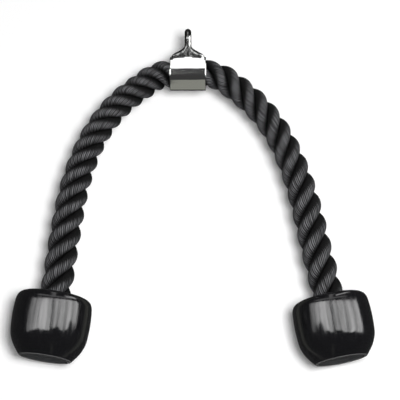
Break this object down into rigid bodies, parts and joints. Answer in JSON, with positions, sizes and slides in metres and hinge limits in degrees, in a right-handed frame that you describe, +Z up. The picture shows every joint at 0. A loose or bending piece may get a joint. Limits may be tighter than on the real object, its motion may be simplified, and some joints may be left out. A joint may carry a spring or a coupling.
{
  "type": "triceps rope attachment",
  "caption": "Thick black laid rope arched through a chrome crown sleeve with a hanging eye, ending in rounded rubber stops; pulled by hand on a cable machine.",
  "frame": {"origin": "the point under the crown of the eye where the machine's carabiner bears", "axes": "+Z up towards the machine's cable, +X across the arch towards its right leg as pictured, +Y through the arch, away from the viewer"},
  "size_m": [0.3588, 0.0778, 0.3453],
  "materials": {
    "rope_nylon": "satin",
    "chrome": "polished",
    "ball_rubber": "gloss",
    "base_rubber": "matte",
    "fitting_steel": "satin"
  },
  "bodies": {
    "crown": {"crown_sleeve": "chrome", "eye": "chrome", "strand_1_crown": "rope_nylon", "strand_2_crown": "rope_nylon", "strand_3_crown": "rope_nylon"},
    "left_arm": {"strand_1_left_arm": "rope_nylon", "strand_2_left_arm": "rope_nylon", "strand_3_left_arm": "rope_nylon", "strand_1_left_flex": "rope_nylon", "strand_2_left_flex": "rope_nylon", "strand_3_left_flex": "rope_nylon"},
    "left_grip": {"strand_1_left_grip": "rope_nylon", "strand_2_left_grip": "rope_nylon", "strand_3_left_grip": "rope_nylon", "ball_left": "ball_rubber", "base_plug_left": "base_rubber", "washer_left": "fitting_steel", "ferrule_left": "fitting_steel"},
    "right_arm": {"strand_1_right_arm": "rope_nylon", "strand_2_right_arm": "rope_nylon", "strand_3_right_arm": "rope_nylon", "strand_1_right_flex": "rope_nylon", "strand_2_right_flex": "rope_nylon", "strand_3_right_flex": "rope_nylon"},
    "right_grip": {"strand_1_right_grip": "rope_nylon", "strand_2_right_grip": "rope_nylon", "strand_3_right_grip": "rope_nylon", "ball_right": "ball_rubber", "base_plug_right": "base_rubber", "washer_right": "fitting_steel", "ferrule_right": "fitting_steel"}
  },
  "joints": [
    {"name": "left_shoulder", "type": "hinge", "parent": "crown", "child": "left_arm", "pos_m": [-0.03709, 0, -0.04632], "axis": [0, 1, 0], "range_deg": [-12, 45], "stiffness_Nm_per_rad": 1.5, "springref_deg": 12.89, "deforming": ["strand_1_crown", "strand_2_crown", "strand_3_crown"]},
    {"name": "left_elbow", "type": "hinge", "parent": "left_arm", "child": "left_grip", "pos_m": [-0.10789, 0, -0.13989], "axis": [0, 1, 0], "range_deg": [-14, 35], "stiffness_Nm_per_rad": 1.5, "springref_deg": 3.44, "deforming": ["strand_1_left_flex", "strand_2_left_flex", "strand_3_left_flex"]},
    {"name": "right_shoulder", "type": "hinge", "parent": "crown", "child": "right_arm", "pos_m": [0.03708, 0, -0.04639], "axis": [0, -1, 0], "range_deg": [-12, 45], "stiffness_Nm_per_rad": 1.5, "springref_deg": 14.09, "deforming": ["strand_1_crown", "strand_2_crown", "strand_3_crown"]},
    {"name": "right_elbow", "type": "hinge", "parent": "right_arm", "child": "right_grip", "pos_m": [0.1073, 0, -0.14085], "axis": [0, -1, 0], "range_deg": [-14, 35], "stiffness_Nm_per_rad": 1.5, "springref_deg": 4.76, "deforming": ["strand_1_right_flex", "strand_2_right_flex", "strand_3_right_flex"]}
  ]
}
